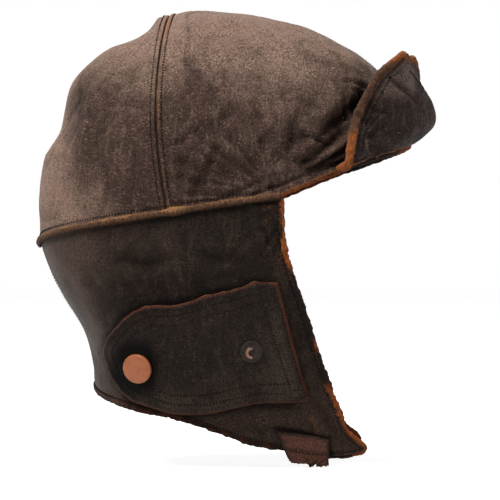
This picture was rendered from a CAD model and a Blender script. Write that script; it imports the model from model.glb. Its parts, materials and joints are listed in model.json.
"""Looks of the leather flying helmet: worn panels, seams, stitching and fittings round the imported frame."""

import json
import math
from types import SimpleNamespace

import bpy
import numpy as np
from mathutils import Matrix, Vector, noise


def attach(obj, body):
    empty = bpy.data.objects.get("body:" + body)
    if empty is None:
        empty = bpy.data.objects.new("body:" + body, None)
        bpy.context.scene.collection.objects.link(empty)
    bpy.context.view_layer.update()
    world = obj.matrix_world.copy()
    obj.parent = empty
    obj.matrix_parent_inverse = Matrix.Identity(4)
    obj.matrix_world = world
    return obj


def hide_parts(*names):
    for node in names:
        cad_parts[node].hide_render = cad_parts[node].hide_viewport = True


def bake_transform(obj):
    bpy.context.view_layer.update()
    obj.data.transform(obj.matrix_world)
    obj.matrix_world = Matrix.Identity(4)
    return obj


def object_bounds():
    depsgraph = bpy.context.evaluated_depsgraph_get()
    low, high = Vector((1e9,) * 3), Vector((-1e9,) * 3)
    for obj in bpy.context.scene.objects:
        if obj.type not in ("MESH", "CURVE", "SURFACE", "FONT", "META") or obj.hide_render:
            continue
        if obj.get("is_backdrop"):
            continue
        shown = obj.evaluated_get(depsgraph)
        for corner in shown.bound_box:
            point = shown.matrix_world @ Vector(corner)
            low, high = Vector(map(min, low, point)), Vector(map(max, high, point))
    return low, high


MM = 0.001

# Head form, as in the part's source
POLE_X = -31 * MM
CROWN_HEIGHT = 107.5 * MM
FRONT_REACH = 131 * MM
BACK_REACH = 70 * MM
HALF_WIDTH = 79 * MM
FRONT_PLAN_POWER = 2.5
BACK_PLAN_POWER = 2.25
FRONT_POWER = 3.0
SIDE_POWER = 2.4
BACK_POWER = 1.88
WALL_DROP = 130 * MM
DROP_SHARES = (0.0, 0.14, 0.31, 0.48, 0.62, 0.7, 0.85, 1.0)
BACK_SHARES = (1.0, 0.985, 0.85, 0.665, 0.595, 0.585, 0.53, 0.48)
FRONT_SHARES = (1.0, 1.0, 1.0, 1.0, 1.01, 1.02, 1.04, 1.06)
WIDTH_SHARES = (1.0, 1.01, 1.0, 0.96, 0.91, 0.87, 0.8, 0.7)
HOLLOW_DEPTH = 9 * MM
HOLLOW_START = 5.5 * MM
HOLLOW_RUN = 10 * MM
SLACK_DEPTH = 5.8 * MM
LOW_SLACK_DEPTH = 2.4 * MM
HOLLOW_SHARES = ((0.28, 0.0), (0.35, 0.28), (0.42, 0.44), (0.49, 0.3), (0.57, 0.0), (0.65, 0.02),
                 (0.72, 0.2), (0.79, 0.56), (0.84, 0.9), (0.885, 1.0), (0.93, 0.8), (1.0, 0.0))
HEAD_MIDDLE = np.array((POLE_X, 0, 0))

# Layers
LEATHER = 1.6 * MM
FLAP_LEATHER = 1.5 * MM
THIN_LEATHER = 1.0 * MM
CLOTH = 0.9 * MM
TAPE_THICKNESS = 0.8 * MM
SEAT = 0.3 * MM
CURVED_SEAT = 0.6 * MM
HOLLOW_SEAT = 1.2 * MM
SEAM_GAP = 0.8 * MM
PANEL_PUFF = 2.2 * MM
LINING_DEPTH = 3.9 * MM
LINING_INSET = 7 * MM
SEAM_LEAN = math.radians(5)
PANEL_END_RISE = 0.993

# Band, side panel and its edges
BAND_BACK_Z = -15.5 * MM
BAND_TEMPLE_Z = 9 * MM
BAND_FRONT_Z = 37 * MM
TEMPLE_X = 26.5 * MM
BAND_BEND = 1.25
WELT_WIDTH = 4.4 * MM
WELT_THICKNESS = 1.8 * MM
FACE_EDGE_SHARES = ((0.438, 0.0), (0.452, 0.12), (0.478, 0.23), (0.538, 0.41), (0.603, 0.61), (0.673, 0.8),
                    (0.703, 0.87), (0.785, 0.942))
HEM_SHARES = ((-0.323, -0.685), (-0.24, -0.738), (-0.1, -0.777), (0.01, -0.797), (0.16, -0.844),
              (0.28, -0.888), (0.35, -0.912), (0.46, -0.932), (0.66, -0.957), (0.785, -0.942))
BINDING_WIDTH = 3.4 * MM
BINDING_THICKNESS = 3.2 * MM
BINDING_PROUD = 0.8 * MM
FACE_BINDING_END_SHARES = (0.0, 1.0)
HEM_BINDING_END_SHARES = (0.0, 0.955)
TIP_SHARE = 0.945
TIP_DROP = 1.5 * MM
FOREHEAD_EDGE_WIDTH = 2.6 * MM
FOREHEAD_EDGE_HEIGHT = 2.2 * MM
EAR_X = -12 * MM
EAR_Z = -70 * MM
EAR_LENGTH = 32 * MM
EAR_HEIGHT = 40 * MM

# Ear flap, its snap and its stud
FOLD_TOP_X = 15 * MM
FOLD_TOP_Z = -35.5 * MM
FLAP_LENGTH = 80 * MM
FLAP_HEIGHT = 64 * MM
FOLD_FOOT_SHARE = 0.25
UPPER_EDGE_SHARES = ((0.0, 0.0), (-0.1, -0.045), (-0.2, -0.08), (-0.32, -0.11), (-0.43, -0.16),
                     (-0.53, -0.19), (-0.66, -0.19), (-0.76, -0.22), (-0.86, -0.3), (-0.94, -0.41),
                     (-0.98, -0.48), (-1.0, -0.55))
LOWER_EDGE_SHARES = ((0.25, -1.0), (0.12, -1.0), (0.0, -1.0), (-0.15, -1.03), (-0.29, -1.07),
                     (-0.43, -1.08), (-0.56, -1.07), (-0.68, -1.02), (-0.8, -0.97), (-0.9, -0.87),
                     (-0.96, -0.74), (-1.0, -0.6))
ANCHOR_SHARE = 0.15
ANCHOR_FOOT_SHARE = 0.355
STRIP_TAPER = 0.015
FLAP_LIFT_AT_FOLD = 0.9 * MM
FLAP_LIFT = 3.7 * MM
FLAP_RISE_SHARE = 0.3
FLAP_EDGE_CURL = 0.8 * MM
SNAP_DENT = 0.9 * MM
CAP_SINK = 0.6 * MM
FLAP_OUTER_FACE = THIN_LEATHER + SEAT + FLAP_LEATHER
FLAP_STACK = FLAP_LIFT + FLAP_OUTER_FACE
SNAP_SHARES = (-0.7675, -0.7)
SNAP_X = FOLD_TOP_X + SNAP_SHARES[0] * FLAP_LENGTH
SNAP_Z = FOLD_TOP_Z + SNAP_SHARES[1] * FLAP_HEIGHT
STUD_SHARES = (-0.031, -0.5625)
STUD_X = FOLD_TOP_X + STUD_SHARES[0] * FLAP_LENGTH
STUD_Z = FOLD_TOP_Z + STUD_SHARES[1] * FLAP_HEIGHT
CAP_DIAMETER = 15.6 * MM
CAP_HEIGHT = 2.0 * MM
SOCKET_DIAMETER = 10.5 * MM
SOCKET_BORE = 6.4 * MM
SOCKET_HEIGHT = 1.2 * MM
SNAP_STUD_FLANGE = 9.5 * MM
SNAP_STUD_POST = 4.0 * MM
SNAP_STUD_FLANGE_HEIGHT = 0.5 * MM
SNAP_STUD_HEIGHT = 1.7 * MM
STUD_RING = 11.4 * MM
STUD_RING_HEIGHT = 0.8 * MM
STUD_KNOB = 6.5 * MM
STUD_HEIGHT = 3.4 * MM
STUD_HOLLOW = 2.6 * MM
STUD_HOLLOW_DEPTH = 1.2 * MM
WASHER_DIAMETER = 8.0 * MM
WASHER_HOLE = 3.0 * MM
WASHER_THICKNESS = 0.6 * MM
TURNED_SIDES = 56
AXIS_RADIUS = 0.01 * MM
FLAP_OUTER_ROW = 5.2 * MM
FLAP_INNER_ROW = 10 * MM

# Stitch rows of the flap's front strip, as points in mm seen from the side
FOLD_ROW = ((17, -41), (34.8, -97))
FOLD_TOP_ROW = ((14.5, -46.2), (27, -45.0))
FOLD_FOOT_ROW = ((34, -92.5), (41, -92.3))
FOLD_FOOT_INNER_ROW = ((35, -96.5), (42, -96.2))
FRONT_ROW = ((24.6, -38), (29, -53), (34, -72), (39, -88), (42, -97))

# Chin tab
TAB_BACK_X = 27 * MM
TAB_LENGTH = 25 * MM
TAB_STITCH_Z = -121.5 * MM
TAB_LIP_HEIGHT = 8 * MM
TAB_FOOT_HEIGHT = 7.5 * MM
TAB_SLOPE = 0.14
TAB_THICKNESS = 2.6 * MM
TAB_OFFSET = 1.7 * MM
TAB_ROLL = 1.1 * MM
TAB_PINCH = 2.2 * MM

# Visor
VISOR_FOOT_SIDE_Z = 26 * MM
VISOR_FOOT_FRONT_Z = 38.5 * MM
VISOR_TOP_FRONT_Z = 71 * MM
VISOR_TOP_CORNER_Z = 84 * MM
VISOR_FRONT_X = 100.4 * MM
VISOR_BULGE = 11.5 * MM
VISOR_SIDE_X = 66 * MM
VISOR_SIDE_RUN = 29 * MM
VISOR_HALF_WIDTH = 0.867 * HALF_WIDTH
VISOR_DRAW_IN = 17 * MM
VISOR_FRONT_SHARES = ((0.0, 0.0), (0.12, 0.5), (0.27, 0.88), (0.44, 1.0), (0.64, 0.88), (0.8, 0.62),
                      (1.0, 0.24))
VISOR_SIDE_SHARES = ((0.0, 0.0), (0.2, 0.06), (0.35, 0.12), (0.5, 0.23), (0.65, 0.4), (0.78, 0.56),
                     (0.89, 0.8), (1.0, 1.0))
VISOR_ROUNDNESS = 2.6
VISOR_BEAD = 4.6 * MM
BEAD_CURL = ((-0.5, 0.0, -1.6), (-1.2, 0.3, -2.7), (-2.6, 0.6, -3.4), (-4.4, 0.8, -3.7), (-6.6, 0.9, -4.1))

# Strips under the seams
TAPE_WIDTH = 9 * MM
FRONT_TAPE_END_RISE = 0.9
BACK_TAPE_END_RISE = 0.85
POLE_DIP = 0.6 * MM

# Sewing
SEAM_FILL = 2.0 * MM
SEAM_FILL_FOOT = 0.7 * MM
SEAM_FILL_HEAD = 0.35 * MM
STITCH_PITCH = 1.7 * MM
STITCH_LENGTH = 0.85 * MM
THREAD = 0.8 * MM
SEAM_STITCH_INSET = 2.7 * MM
EDGE_STITCH_INSET = 1.5 * MM
WELT_STITCH_INSET = 3.5 * MM
EDGE_REACH = 1.3 * MM
STITCH_GROOVE = 0.35 * MM
STITCH_GROOVE_WIDTH = 0.6 * MM
VISOR_GROOVE_WIDTH = 0.9 * MM
VISOR_STITCH_INSET = 4.2 * MM

# One stitch: (share of its length, height in threads) from end to end
STRAND = ((-0.5, -0.9), (-0.36, 0.05), (0.0, 0.3), (0.36, 0.05), (0.5, -0.9))
STRAND_SIDES = 5

# Photograph: where it was taken from and what it takes in
CAMERA_DISTANCE = 1.8
CAMERA_X = 11.88 * MM
CAMERA_Z = -18.9 * MM
FIELD_WIDTH = 270 * MM
SENSOR = 36.0

# Light: each lamp is (name, place in metres, width, power)
LAMPS = (
    ("key", (-0.9, -1.3, 1.2), 0.6, 15),
    ("fill", (1.4, -0.7, 1.1), 0.8, 5),
    ("top", (-0.3, -0.5, 2.0), 0.7, 38),
    ("rim", (-1.3, 0.4, 1.5), 0.8, 16),
)
LAMP_TARGET = (0.0, 0.0, -0.02)
AMBIENT = 0.14
FLOOR_GLOW = 0.85
FLOOR_REACH = 8.0

RIGHT, LEFT = 1, -1
SIDES = {"right": RIGHT, "left": LEFT}
FINE_STEP = 0.004
NEAR_POLE_RISE = 0.995
LINING_END_RISE = 0.998
TAPE_END_RISE = 0.9995

# Points along each grid and path: columns before rows
CROWN_FRONT_COLUMNS = 150
CROWN_BACK_COLUMNS = 126
CROWN_ROWS = 122
CROWN_LINING_GRID = (97, 35)
SIDE_PANEL_GRID = (140, 110)
SIDE_LINING_GRID = (70, 56)
STRIP_COLUMNS = 12
FLAP_GRID_COLUMNS = 88
FLAP_GRID_ROWS = 62
TAB_COLUMNS = 52
TAB_ROWS = 34
VISOR_GRID = (190, 50)
TAPE_POINTS = 50
WELT_POINTS = 200
BINDING_POINTS = 190
FOREHEAD_POINTS = 170
BEAD_SIDE_POINTS = 90
BEAD_TOP_POINTS = 240
BEAD_STEP = 0.6 * MM
LOOP_POINTS = 260
OVAL_SIDES = 12

# Creases seen from the side: points in mm ahead of the origin and up, half width and depth in mm
CROWN_CREASES = (
    (((-7, 30), (-13, 19), (-19, 7)), 2.6, 0.9),
    (((5, 56), (-3, 47), (-11, 38)), 2.8, 0.8),
    (((-26, 25), (-19, 29)), 1.5, 0.5),
    (((-30, 34), (-22, 38), (-13, 45)), 1.8, 0.6),
    (((-4, 7), (5, 11), (15, 15)), 1.6, 0.6),
    (((12, 9), (27, 15)), 1.3, 0.5),
    (((-57, 56), (-49, 56), (-40, 53)), 2.4, 0.9),
    (((-60, 50), (-51, 53)), 1.8, 0.5),
    (((-84, 30), (-80, 55), (-70, 78)), 5.0, 1.3),
    (((-70, 20), (-66, 44), (-58, 66)), 6.0, 0.9),
    (((60, 69), (66, 68), (76, 67)), 1.1, 0.8),
    (((62, 65), (71, 64), (75, 63)), 1.1, 0.8),
    (((74, 61), (66, 57), (57, 47), (48, 40)), 3.4, 2.4),
    (((68, 52), (60, 50), (51, 47)), 1.5, 0.7),
    (((66, 45), (57, 39), (45, 30), (36, 24)), 2.6, 2.2),
    (((66, 37), (56, 31), (44, 23)), 1.9, 1.8),
    (((44, 60), (36, 48), (30, 33)), 3.5, 0.7),
    (((30, 50), (18, 36), (12, 22)), 3.0, 0.6),
    (((20, 24), (32, 33), (44, 46)), 2.2, 0.5),
    (((40.5, 21.7), (53.5, 29), (63.4, 35.5)), 0.9, 1.5),
    (((47.3, 21.7), (56, 25.3), (63, 29.5)), 0.8, 1.3),
)
SIDE_CREASES = (
    (((22, 0), (26, -12), (30, -26)), 1.6, 0.5),
    (((16, -2), (22, -16), (28, -32)), 1.3, 0.4),
    (((8, -6), (17, -20), (24, -30)), 1.6, 0.4),
    (((-60, -22), (-42, -26), (-26, -23)), 3.6, 0.9),
    (((-86, -34), (-79, -50), (-72, -64)), 3.4, 0.9),
    (((-72, -30), (-66, -46), (-62, -60)), 3.0, 0.6),
    (((-20, -18), (-6, -24), (8, -24)), 2.6, 0.5),
    (((46, -96), (52, -108), (58, -118)), 2.6, 0.7),
    (((0, -112), (20, -112), (34, -114)), 2.4, 0.5),
)
VISOR_CREASES = (
    (((84, 73), (93, 66), (101, 59)), 1.4, 1.2),
    (((88, 79), (92, 70)), 1.2, 0.5),
    (((68, 50), (74, 47), (80, 46)), 1.2, 0.5),
    (((72, 60), (77, 54), (84, 52)), 1.3, 0.6),
    (((70, 41), (80, 40), (90, 42)), 1.6, 0.4),
    (((78, 68), (82, 62)), 1.0, 0.4),
)

# Other places seen from the side, in mm
FAN_TEMPLE = (27, 8)
TAB_SHADOW = ((26, -112.3), (53, -116), (52.5, -130), (33, -128), (26, -112.3))
FAN_VISOR = (68, 30)
FAN_FACE = (34, 4)
FAN_VISOR_FOOT = (66, 36)
JAW_SPOT = (51, -107)
EAR_SEAM_X = -27

# Soft folds and wrinkles
FAN_SPREAD = 40 * MM
FAN_STRETCH = 0.2
FAN_WAVE = 4.6 * MM
VALLEY_WIDTH = 0.28


def smoothstep(value):
    value = np.clip(value, 0, 1)
    return value * value * (3 - 2 * value)


def bell(distance, width):
    """1 at zero distance, falling smoothly to nothing over about twice the width."""
    return np.exp(-((distance / width) ** 2))


def ramp(value, start, end):
    """0 up to the start, in mm, then smoothly to 1 at the end, which may be the lower of the two."""
    return smoothstep((value / MM - start) / (end - start))


def near(value, place, reach):
    """1 at this place, in mm, fading out over about twice the reach."""
    return bell(value / MM - place, reach)


def spot(x, z, place, reach):
    """1 at this place seen from the side, in mm, fading out over about twice the reach."""
    return bell(np.hypot(x / MM - place[0], z / MM - place[1]), reach)


def along(places, values, where):
    """Smooth reading, at the positions in where, of values given at rising places."""
    places = np.asarray(places, float)
    values = np.asarray(values, float)
    where = np.clip(where, places[0], places[-1])
    low = np.clip(np.searchsorted(places, where, side="left") - 1, 0, len(places) - 2)
    before = np.maximum(low - 1, 0)
    after = np.minimum(low + 2, len(places) - 1)
    span = places[low + 1] - places[low]
    share = (where - places[low]) / span
    slope_low = (values[low + 1] - values[before]) / (places[low + 1] - places[before]) * span
    slope_high = (values[after] - values[low]) / (places[after] - places[low]) * span
    square, cube = share ** 2, share ** 3
    return (values[low] * (2 * cube - 3 * square + 1) + slope_low * (cube - 2 * square + share)
            + values[low + 1] * (3 * square - 2 * cube) + slope_high * (cube - square))


def along_table(table, where):
    return along([place for place, _ in table], [value for _, value in table], where)


def along_points(points, share):
    """Coordinates at these shares of a row of evenly counted points."""
    places = np.linspace(0, 1, len(points))
    return [along(places, [point[axis] for point in points], share) for axis in range(len(points[0]))]


def plan_radius(azimuth, front, back, half):
    forward = np.cos(azimuth)
    power = np.where(forward > 0, FRONT_PLAN_POWER, BACK_PLAN_POWER)
    reach = np.where(forward > 0, front, back)
    return ((np.abs(forward) / reach) ** power + (np.abs(np.sin(azimuth)) / half) ** power) ** (-1 / power)


def end_power(azimuth):
    end = np.where(np.cos(azimuth) > 0, FRONT_POWER, BACK_POWER)
    return SIDE_POWER + (end - SIDE_POWER) * np.cos(azimuth) ** 2


def form_points(azimuth, rise):
    """Head form: rise 0 to 1 climbs to the pole, and below 0 it goes down the wall."""
    azimuth, rise = np.broadcast_arrays(np.asarray(azimuth, float), np.asarray(rise, float))
    elevation = np.maximum(rise, 0) * math.pi / 2
    radius = plan_radius(azimuth, FRONT_REACH, BACK_REACH, HALF_WIDTH)
    power = end_power(azimuth)
    climb = (np.sin(elevation) / CROWN_HEIGHT) ** power
    reach = ((np.cos(elevation) / radius) ** power + climb) ** (-1 / power)
    backward = np.maximum(-np.cos(azimuth), 0)
    behind = reach * np.cos(elevation) * backward
    sunk = backward * smoothstep((behind - HOLLOW_START) / HOLLOW_RUN)
    reach = reach - HOLLOW_DEPTH * sunk * along_table(HOLLOW_SHARES, np.maximum(rise, 0))
    fall = np.minimum(rise, 0) * CROWN_HEIGHT * math.pi / 2
    drop = -fall / WALL_DROP
    wall = plan_radius(
        azimuth,
        FRONT_REACH * along(DROP_SHARES, FRONT_SHARES, drop),
        BACK_REACH * along(DROP_SHARES, BACK_SHARES, drop),
        HALF_WIDTH * along(DROP_SHARES, WIDTH_SHARES, drop),
    )
    out = np.where(rise >= 0, reach * np.cos(elevation), wall)
    z = np.where(rise >= 0, reach * np.sin(elevation), fall)
    return np.stack([POLE_X + out * np.cos(azimuth), -out * np.sin(azimuth), z], axis=-1)


def unit(vectors):
    return vectors / np.maximum(np.linalg.norm(vectors, axis=-1, keepdims=True), 1e-12)


def form_normals(azimuth, rise):
    top = np.minimum(rise + FINE_STEP, NEAR_POLE_RISE)
    turn = form_points(azimuth + FINE_STEP, top) - form_points(azimuth - FINE_STEP, top)
    climb = form_points(azimuth, top) - form_points(azimuth, top - 2 * FINE_STEP)
    normal = unit(np.cross(climb, turn))
    outward = form_points(azimuth, rise) - HEAD_MIDDLE
    facing = np.sign(np.sum(normal * outward, axis=-1, keepdims=True))
    return normal * np.where(facing == 0, 1, facing)


def skin(azimuth, rise, offset=0.0, side=RIGHT):
    """Points at these distances outside the head form, on the right side or mirrored to the left."""
    azimuth, rise, offset = np.broadcast_arrays(azimuth, rise, offset)
    points = form_points(azimuth, rise) + form_normals(azimuth, rise) * offset[..., None]
    return points * np.array((1, side, 1))


def skin_normals(azimuth, rise, side):
    azimuth, rise = np.broadcast_arrays(azimuth, rise)
    return form_normals(azimuth, rise) * np.array((1, side, 1))


def skin_path(azimuth, rise, offset, side=RIGHT):
    """Points off the head form, with the outward directions there."""
    return skin(azimuth, rise, offset, side), skin_normals(azimuth, rise, side)


def rise_at(azimuth, z):
    azimuth, z = np.broadcast_arrays(np.asarray(azimuth, float), np.asarray(z, float))
    power = end_power(azimuth)
    height = np.clip(z / CROWN_HEIGHT, 0, 1 - 1e-9)
    out = plan_radius(azimuth, FRONT_REACH, BACK_REACH, HALF_WIDTH) * (1 - height ** power) ** (1 / power)
    above = np.arctan2(np.maximum(z, 0), out) * 2 / math.pi
    return np.where(z <= 0, z / (CROWN_HEIGHT * math.pi / 2), above)


def seen_at(x, z, lift=0.0):
    """Azimuth and rise of the points, at this distance off the form, that show at x and z from the side."""
    x, z = np.broadcast_arrays(np.asarray(x, float), np.asarray(z, float))
    aim_x, aim_z = x.copy(), z.copy()
    for _ in range(4 if np.any(lift) else 1):
        low, high = np.zeros_like(x), np.full_like(x, math.pi)
        for _ in range(22):
            middle = (low + high) / 2
            ahead = form_points(middle, rise_at(middle, aim_z))[..., 0] > aim_x
            low = np.where(ahead, middle, low)
            high = np.where(ahead, high, middle)
        rise = rise_at(low, aim_z)
        shown = skin(low, rise, lift)
        aim_x = aim_x + x - shown[..., 0]
        aim_z = aim_z + z - shown[..., 2]
    return low, rise


TEMPLE = float(seen_at(TEMPLE_X, BAND_TEMPLE_Z)[0])
BACK_EDGE = math.pi - SEAM_GAP / 5 / BACK_REACH


def band_z(azimuth):
    """Height of the crown's lower edge, from the back round to the middle of the forehead."""
    azimuth = np.asarray(azimuth, float)
    share = np.clip((math.pi - azimuth) / (math.pi - TEMPLE), 0, 1)
    behind = BAND_BACK_Z + (BAND_TEMPLE_Z - BAND_BACK_Z) * share ** BAND_BEND
    ahead = BAND_TEMPLE_Z + (BAND_FRONT_Z - BAND_TEMPLE_Z) * np.sin((1 - azimuth / TEMPLE) * math.pi / 2)
    return np.where(azimuth >= TEMPLE, behind, ahead)


def noise_field(points, wavelength, seed=0.0, stretch=(1, 1, 1)):
    """Smooth noise from about -1 to 1 at each point."""
    scaled = points.reshape(-1, 3) / wavelength / np.array(stretch) + seed
    values = [noise.noise(Vector(place)) for place in scaled]
    return np.array(values).reshape(points.shape[:-1]) * 1.6


def waves(points, *layers):
    """Sum of noise layers, each (height, wavelength in mm, seed)."""
    return sum(height * noise_field(points, wavelength * MM, seed) for height, wavelength, seed in layers)


def wrinkled(points, wavelength, seed, stretch, patch, patch_seed, cover):
    """Narrow valleys, 0 to 1, in the patches that a broader noise leaves open; both wavelengths in mm."""
    height = np.abs(noise_field(points, wavelength * MM, seed, stretch))
    valleys = np.clip(1 - height / VALLEY_WIDTH, 0, 1) ** 2
    return valleys * smoothstep(noise_field(points, patch * MM, patch_seed) + cover)


def stroke_distance(x, z, stroke):
    """Distance of each place to a hand-drawn line, and the share along it of the nearest point."""
    best = np.full(x.shape, 1e9)
    where = np.zeros(x.shape)
    corners = np.array(stroke) * MM
    lengths = np.linalg.norm(np.diff(corners, axis=0), axis=1)
    total = lengths.sum()
    passed = 0.0
    for start, end, length in zip(corners, corners[1:], lengths):
        direction = (end - start) / length
        step = np.clip((x - start[0]) * direction[0] + (z - start[1]) * direction[1], 0, length)
        gap = np.hypot(x - start[0] - direction[0] * step, z - start[1] - direction[1] * step)
        nearer = gap < best
        best = np.where(nearer, gap, best)
        where = np.where(nearer, (passed + step) / total, where)
        passed += length
    return best, where


def creases(x, z, strokes):
    """Depth of hand-drawn creases, each (points, half width, depth), with raised shoulders."""
    depth = np.zeros(x.shape)
    for points, width, deep in strokes:
        gap, share = stroke_distance(x, z, points)
        fade = np.sqrt(np.clip(np.sin(math.pi * np.clip(share, 0.02, 0.98)), 0, 1))
        width, deep = width * MM, deep * MM
        depth += fade * deep * (bell(gap, width) - 0.35 * bell(gap - 2.2 * width, width * 1.1))
    return depth


def fan(x, z, centre, reach, seed):
    """Soft folds that spread from a drawn-in corner, about -1 to 1, strongest at this reach in mm."""
    across, upward = x - centre[0] * MM, z - centre[1] * MM
    radius, angle = np.hypot(across, upward), np.arctan2(upward, across)
    place = np.stack([angle * FAN_SPREAD, radius * FAN_STRETCH, np.full(x.shape, seed)], axis=-1)
    return noise_field(place, FAN_WAVE, seed) * near(radius, reach, reach * 0.6)


def groove(gaps, inset):
    """Depth of the line that a row of stitches draws in, at this distance from an edge."""
    return STITCH_GROOVE * bell(gaps - inset, STITCH_GROOVE_WIDTH)


def grid_distances(points):
    """Distances along the surface to the first and last column and the first and last row."""
    across = np.linalg.norm(np.diff(points, axis=1), axis=2)
    down = np.linalg.norm(np.diff(points, axis=0), axis=2)
    first_column = np.pad(np.cumsum(across, axis=1), ((0, 0), (1, 0)))
    first_row = np.pad(np.cumsum(down, axis=0), ((1, 0), (0, 0)))
    return (first_column, first_column[:, -1:] - first_column, first_row, first_row[-1:, :] - first_row)


def new_mesh(name, points, faces, finish):
    """Smooth mesh object in this finish."""
    mesh = bpy.data.meshes.new(name)
    mesh.from_pydata(points.tolist(), [], [list(face) for face in faces])
    mesh.update()
    mesh.polygons.foreach_set("use_smooth", np.ones(len(mesh.polygons), bool))
    mesh.materials.append(FINISHES[finish])
    obj = bpy.data.objects.new(name, mesh)
    bpy.context.scene.collection.objects.link(obj)
    return obj


def set_field(obj, name, values):
    """Number at each vertex that the materials read."""
    field = obj.data.attributes.new(name, "FLOAT", "POINT")
    field.data.foreach_set("value", np.asarray(values, np.float32).ravel())


def vertex_places(obj):
    return np.array([vertex.co for vertex in obj.data.vertices])


def ear_hole(points):
    """Below 1 inside the ear opening, as seen from the side."""
    across = (points[:, 0] - EAR_X) / (EAR_LENGTH / 2)
    upward = (points[:, 2] - EAR_Z) / (EAR_HEIGHT / 2)
    return np.maximum(np.hypot(across, upward), 1e-6)


def cut_opening(flat, faces, fields):
    """Grid without the ear opening, the points round it drawn onto its outline."""
    inside = ear_hole(flat)
    faces = faces[~np.all(inside[faces] < 1, axis=1)]
    used = np.unique(faces)
    edge = (inside < 1) & np.isin(np.arange(len(flat)), used)
    spread = (flat - np.array((EAR_X, 0, EAR_Z))) * np.array((1, 0, 1))
    flat[edge] += spread[edge] * (1 / inside[edge] - 1)[:, None]
    renumber = np.full(len(flat), -1)
    renumber[used] = np.arange(len(used))
    return flat[used], renumber[faces], {key: value[used] for key, value in fields.items()}


def sheet(name, points, thickness, finish, rim=None, fields=None, ear_opening=False):
    """Leather or cloth through a grid of points, thickened inward, with its cut edge in the rim's finish."""
    shape = points.shape[:2]
    index = np.arange(shape[0] * shape[1]).reshape(shape)
    faces = np.stack([index[:-1, :-1], index[:-1, 1:], index[1:, 1:], index[1:, :-1]], axis=-1).reshape(-1, 4)
    flat = points.reshape(-1, 3).copy()
    fields = {key: np.broadcast_to(value, shape).ravel() for key, value in (fields or {}).items()}
    if ear_opening:
        flat, faces, fields = cut_opening(flat, faces, fields)
    obj = new_mesh(name, flat, faces, finish)
    middle = Vector(HEAD_MIDDLE)
    if sum(face.area * face.normal.dot(face.center - middle) for face in obj.data.polygons) < 0:
        obj.data.flip_normals()
    for key, value in fields.items():
        set_field(obj, key, value)
    obj.data.materials.append(FINISHES[rim or finish])
    thicken = obj.modifiers.new("Thickness", "SOLIDIFY")
    thicken.thickness = thickness
    thicken.offset = -1
    thicken.use_even_offset = False
    thicken.use_rim = True
    thicken.material_offset_rim = 1
    return obj


def tube_faces(rings, around, first=0):
    """Quads between neighbouring rings of points."""
    faces = []
    for low in range(first, first + (rings - 1) * around, around):
        for j in range(around):
            following = (j + 1) % around
            faces.append((low + j, low + following, low + around + following, low + around + j))
    return faces


def face_outward(obj):
    """Closed piece with its faces turned outward, judged by the sign of its volume."""
    obj.data.calc_loop_triangles()
    volume = 0.0
    for triangle in obj.data.loop_triangles:
        a, b, c = (obj.data.vertices[i].co for i in triangle.vertices)
        volume += a.dot(b.cross(c))
    if volume < 0:
        obj.data.flip_normals()
    return obj


def path_frames(points, normals):
    """Tangents, sideways directions and true normals along a path."""
    tangents = unit(np.gradient(points, axis=0))
    sideways = unit(np.cross(tangents, normals))
    return tangents, sideways, unit(np.cross(sideways, tangents))


def swept(name, points, normals, section, finish, scale=None):
    """Strip of this cross-section, a row of (sideways, upward) pairs, along a path."""
    _, sideways, upward = path_frames(points, normals)
    scale = np.ones(len(points)) if scale is None else scale
    section = np.array(section, float) * scale[:, None, None]
    rings = points[:, None] + sideways[:, None] * section[..., :1] + upward[:, None] * section[..., 1:]
    count, around = rings.shape[:2]
    faces = tube_faces(count, around)
    faces.append(tuple(reversed(range(around))))
    faces.append(tuple(range((count - 1) * around, count * around)))
    return face_outward(new_mesh(name, rings.reshape(-1, 3), faces, finish))


def oval_section(width, height, squareness=2.6):
    """Rounded cross-section, its middle on the path."""
    turns = np.linspace(0, 2 * math.pi, OVAL_SIDES, endpoint=False)
    reach = (np.abs(np.cos(turns)) ** squareness + np.abs(np.sin(turns)) ** squareness) ** (-1 / squareness)
    return np.stack([np.cos(turns) * reach * width / 2, np.sin(turns) * reach * height / 2], axis=-1)


def run_along(path):
    """Distance walked up to each point of a path."""
    return np.concatenate([[0], np.cumsum(np.linalg.norm(np.diff(path, axis=0), axis=1))])


def read_at(places, run, rows):
    """Rows of numbers, known at each distance of the run, read at other places along it."""
    return np.stack([np.interp(places, run, column) for column in rows.T], axis=1)


def resample(points, normals, step):
    """Points and normals at even steps along a path."""
    run = run_along(points)
    places = np.linspace(0, run[-1], max(int(run[-1] / step), 2) + 1)
    return read_at(places, run, points), unit(read_at(places, run, normals))


def joint_of(body):
    """Anchor and axis of the joint that this body turns on."""
    joint = next(joint for joint in FRAME["joints"] if joint["child"] == body)
    return np.array(joint["pos_m"]), np.array(joint["axis"])


def carried(obj, body):
    """Rides on its body; a visor piece stays sewn to the crown along its foot and turns above it."""
    if body == "visor":
        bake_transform(obj)
    else:
        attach(obj, body)


def slotted(obj, body, slot, *nodes):
    """Rides on its body, stands for these nodes and takes its finish from this slot."""
    carried(obj, body)
    if nodes:
        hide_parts(*nodes)
    return obj


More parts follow.
